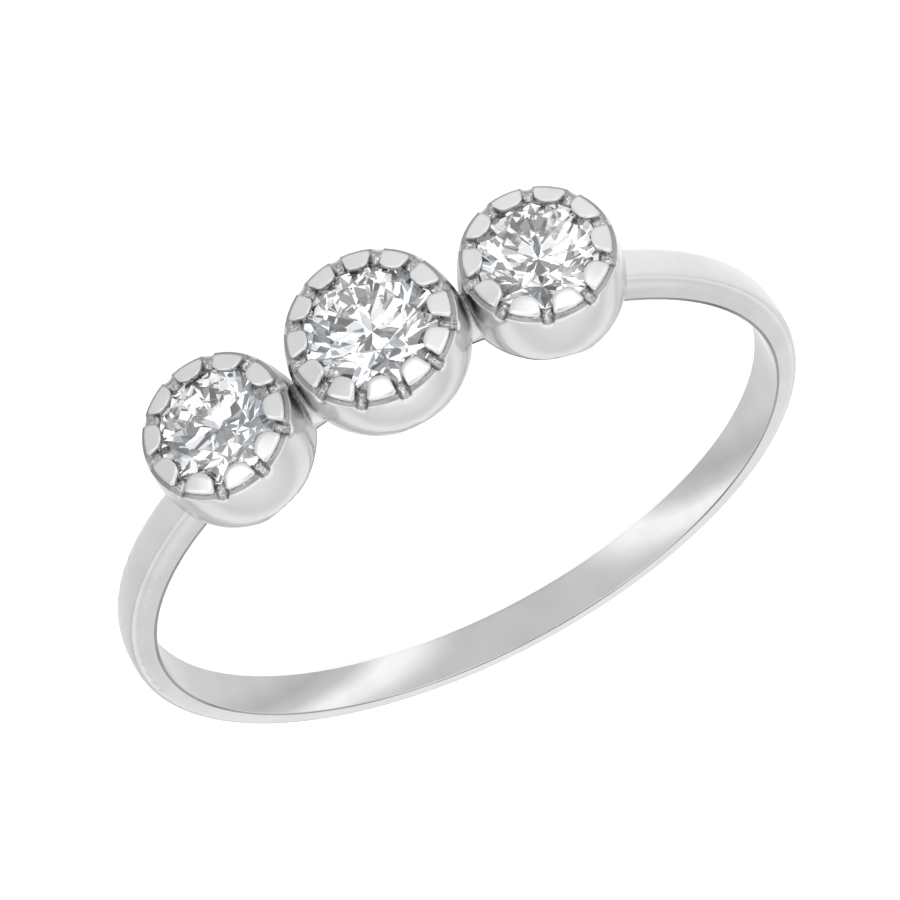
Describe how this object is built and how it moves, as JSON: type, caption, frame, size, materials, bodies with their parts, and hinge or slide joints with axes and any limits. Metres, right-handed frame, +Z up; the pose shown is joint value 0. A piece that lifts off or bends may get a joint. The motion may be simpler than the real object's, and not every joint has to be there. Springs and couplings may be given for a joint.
{
  "type": "three stone ring",
  "caption": "Ring with a slender band and a row of round stones in smooth cups whose rims are cut into flat tabs.",
  "frame": {"origin": "middle of the ring's plan on the floor it lies on, taken as the centre of its bounding box at the lowest height", "axes": "+Z up from the floor and nearly along the finger hole's axis, which leans 4.4 degrees towards +Y; the head with the stones faces -Y and the back of the band faces +Y; the row of stones runs along X, with left_stone at -X"},
  "size_m": [0.0184, 0.0196, 0.0041],
  "materials": {
    "white_metal": "polished white gold",
    "stone": "polished facets, clear"
  },
  "bodies": {
    "root": {"ring_mount": "white_metal", "middle_stone": "stone", "left_stone": "stone", "right_stone": "stone"}
  },
  "joints": []
}
